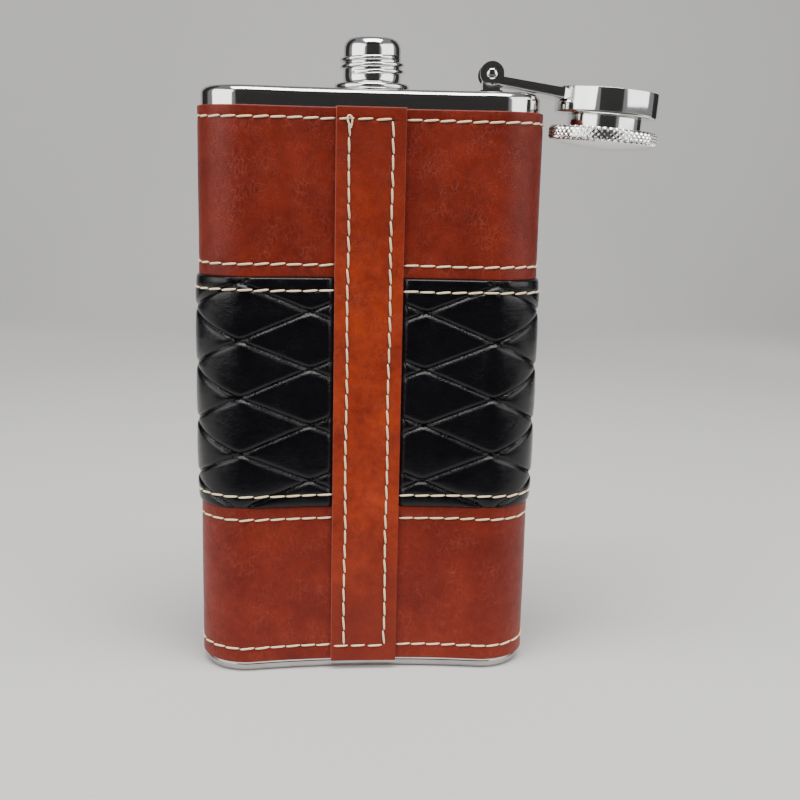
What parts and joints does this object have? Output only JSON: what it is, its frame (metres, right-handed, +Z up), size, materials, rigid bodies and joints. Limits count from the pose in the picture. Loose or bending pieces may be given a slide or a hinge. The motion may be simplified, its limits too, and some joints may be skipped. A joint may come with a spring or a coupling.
{
  "type": "hip flask",
  "caption": "Bent steel hip flask in a stitched leather wrap with a quilted band, with a threaded neck and a captive hinged screw cap.",
  "frame": {"origin": "middle of the face that the flask stands on", "axes": "+X across the flask towards the hinge, +Y from the hollow face to the domed face, +Z up"},
  "size_m": [0.1213, 0.0321, 0.1685],
  "materials": {
    "steel": "mirror-polished stainless steel",
    "brown_leather": "creased semi-gloss leather",
    "strap_leather": "mottled semi-gloss leather",
    "black_leather": "glossy quilted leather",
    "backing": "bonded cloth",
    "padding": "thin wadding",
    "thread": "waxed sewing thread",
    "gasket": "soft sealing disc"
  },
  "bodies": {
    "flask": {"body_shell": "steel", "top_plate": "steel", "base_plate": "steel", "neck_spout": "steel", "hinge_bracket": "steel", "hinge_pin": "steel", "backing_cloth": "backing", "upper_panel": "brown_leather", "quilt_padding": "padding", "quilted_panel": "black_leather", "lower_panel": "brown_leather", "seam_strap": "strap_leather", "thread_top": "thread", "thread_upper": "thread", "thread_band_top": "thread", "thread_band_bottom": "thread", "thread_lower": "thread", "thread_bottom": "thread", "thread_strap": "thread"},
    "lid": {"lid_arm": "steel", "cap_cup": "steel"},
    "cap_carrier": {"retaining_ring": "steel"},
    "screw_cap": {"cap_sleeve": "steel", "knurled_head": "steel", "cap_gasket": "gasket"}
  },
  "joints": [
    {"name": "lid_hinge", "type": "hinge", "parent": "flask", "child": "lid", "pos_m": [0.03093, -0.00209, 0.1603], "axis": [-0.0675, -0.9977, 0], "range_deg": [0, 183.98]},
    {"name": "cap_travel", "type": "slide", "parent": "lid", "child": "cap_carrier", "axis": [0.0692, -0.0047, 0.9976], "range_m": [0, 0.003]},
    {"name": "cap_turn", "type": "hinge", "parent": "cap_carrier", "child": "screw_cap", "pos_m": [0.06122, -0.00414, 0.14997], "axis": [0.0692, -0.0047, 0.9976], "range_deg": [0, 635.29]}
  ],
  "couplings": [
    {"joint": "cap_travel", "follows": "cap_turn", "m_per_rad": 0.00027056}
  ]
}
